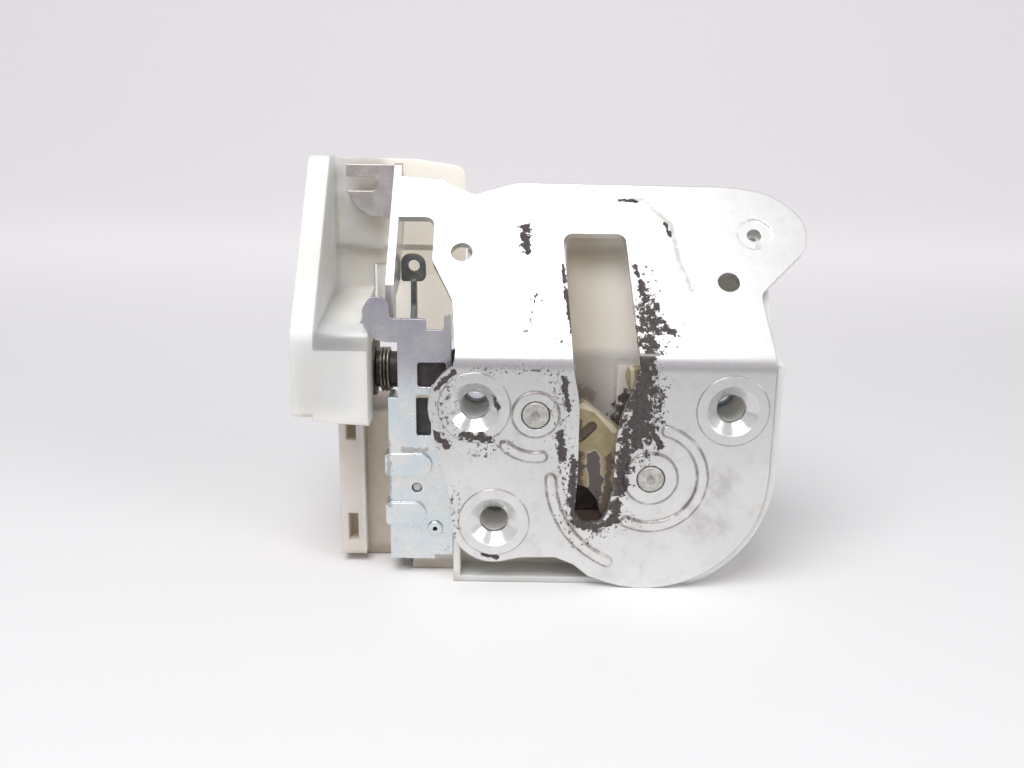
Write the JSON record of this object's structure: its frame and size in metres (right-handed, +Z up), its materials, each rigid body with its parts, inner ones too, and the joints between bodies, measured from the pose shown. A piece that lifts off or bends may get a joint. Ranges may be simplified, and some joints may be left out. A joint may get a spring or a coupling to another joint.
{
  "type": "sliding door lock",
  "caption": "Sliding door lock with a fork and pawl behind a folded steel face plate with a striker slot, release levers and a white side cover.",
  "frame": {"origin": "middle of the three fixing screws on the face plate's front face, beside the striker slot", "axes": "+X along the face plate, away from the side cover; -Y out of the face plate's front, so +Y goes into the door; +Z up, towards the folded flange"},
  "size_m": [0.1683, 0.0582, 0.137],
  "materials": {
    "plated_steel": "bright zinc plate, worn at the slot",
    "zinc_steel": "clear zinc plate with a violet cast",
    "bare_steel": "satin",
    "white_plastic": "milky natural nylon, lightly soiled",
    "yellow_plastic": "satin, worn through along the claw",
    "black_plastic": "satin",
    "brown_steel": "dull brown, soiled",
    "dark_steel": "dark satin",
    "rubber": "matt"
  },
  "bodies": {
    "base": {"face_plate": "plated_steel", "latch_housing": "white_plastic", "side_cover": "white_plastic", "lever_bracket": "zinc_steel", "back_plate": "zinc_steel", "bracket_rivet": "bare_steel", "fork_pin": "bare_steel", "pawl_pin": "bare_steel", "lever_pin": "bare_steel", "fork_spring": "bare_steel", "pawl_spring": "bare_steel", "lever_spring": "bare_steel", "bump_stop": "rubber"},
    "fork": {"fork": "bare_steel", "fork_cover": "yellow_plastic"},
    "pawl": {"pawl": "bare_steel", "lift_lever": "black_plastic"},
    "release": {"inner_lever": "dark_steel", "outer_lever": "brown_steel", "lever_bushing": "black_plastic"},
    "lock": {"lock_lever": "black_plastic"}
  },
  "joints": [
    {"name": "fork_turn", "type": "hinge", "parent": "base", "child": "fork", "pos_m": [0.0275, 0, -0.01], "axis": [0, -1, 0], "range_deg": [0, 68], "stiffness_Nm_per_rad": 0.03, "springref_deg": -45.84},
    {"name": "pawl_lift", "type": "hinge", "parent": "base", "child": "pawl", "pos_m": [-0.01, 0, 0.011], "axis": [0, 1, 0], "range_deg": [0, 7], "stiffness_Nm_per_rad": 0.02, "springref_deg": -34.38},
    {"name": "lever_lift", "type": "hinge", "parent": "base", "child": "release", "pos_m": [-0.06, 0.03, 0.0175], "axis": [-1, 0, 0], "range_deg": [0, 14], "stiffness_Nm_per_rad": 0.02, "springref_deg": -34.38},
    {"name": "lock_turn", "type": "hinge", "parent": "base", "child": "lock", "pos_m": [-0.0429, 0.0117, -0.0323], "axis": [0, -1, 0], "range_deg": [0, 7]}
  ],
  "couplings": [
    {"joint": "pawl_lift", "follows": "lever_lift", "ratio": 0.5}
  ]
}
